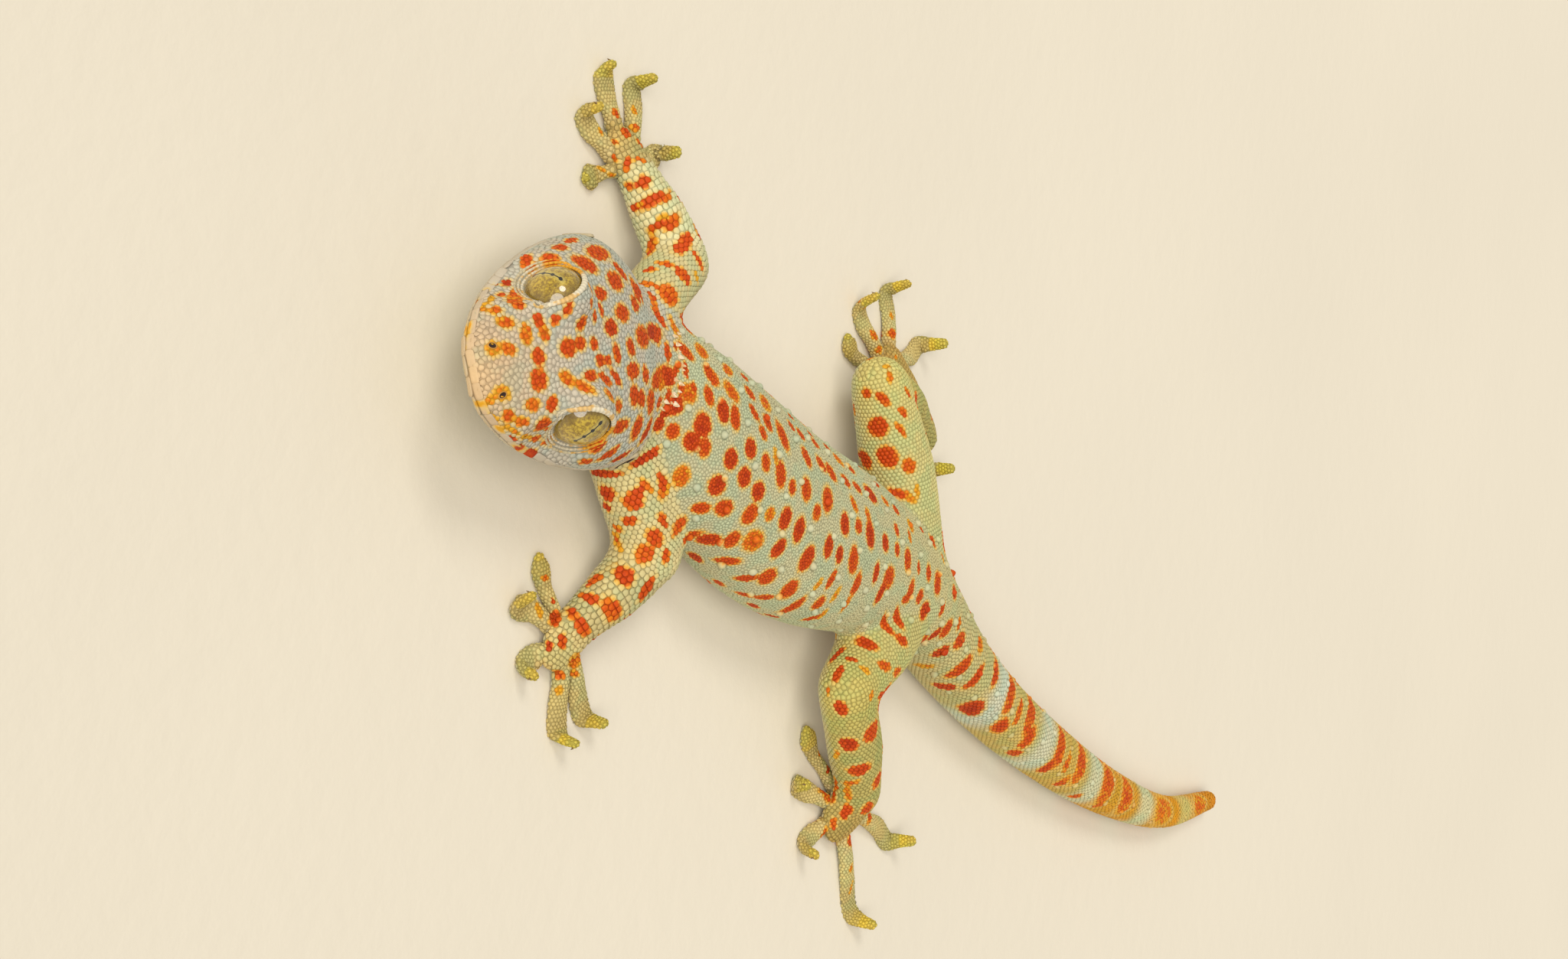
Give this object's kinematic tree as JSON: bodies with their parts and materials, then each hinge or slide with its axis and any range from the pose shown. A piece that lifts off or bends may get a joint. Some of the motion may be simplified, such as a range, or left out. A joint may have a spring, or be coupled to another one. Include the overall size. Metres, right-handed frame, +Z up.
{
  "type": "tokay gecko model",
  "caption": "Still life-size model of a tokay gecko lying flat with its limbs spread, head raised and turned left and tail curved.",
  "frame": {"origin": "on the floor, under the middle of the box that holds the model", "axes": "+Y runs along the trunk towards the tail, +X to the animal's left, +Z up from the floor"},
  "size_m": [0.1106, 0.279, 0.0237],
  "materials": {
    "head_skin": "matt granular skin, blue-grey with orange-brown spots",
    "jaw_skin": "matt skin, cream",
    "body_skin": "matt granular skin, grey-green with orange-brown spots",
    "tail_skin": "matt skin, pale blue-grey with orange bands",
    "limb_skin": "matt scaly skin, olive grey with red-brown spots",
    "toe_skin": "matt fine-scaled skin, yellow-brown",
    "eye": "glossy, olive gold"
  },
  "bodies": {
    "root": {"head": "head_skin", "lower_jaw": "jaw_skin", "eye_left": "eye", "eye_right": "eye", "neck": "body_skin", "torso": "body_skin", "tail_base": "tail_skin", "tail_middle": "tail_skin", "tail_end": "tail_skin", "upper_arm_left": "limb_skin", "upper_arm_right": "limb_skin", "forearm_left": "limb_skin", "forearm_right": "limb_skin", "hand_left": "toe_skin", "hand_right": "toe_skin", "thigh_left": "limb_skin", "thigh_right": "limb_skin", "shin_left": "limb_skin", "shin_right": "limb_skin", "foot_left": "toe_skin", "foot_right": "toe_skin"}
  },
  "joints": []
}
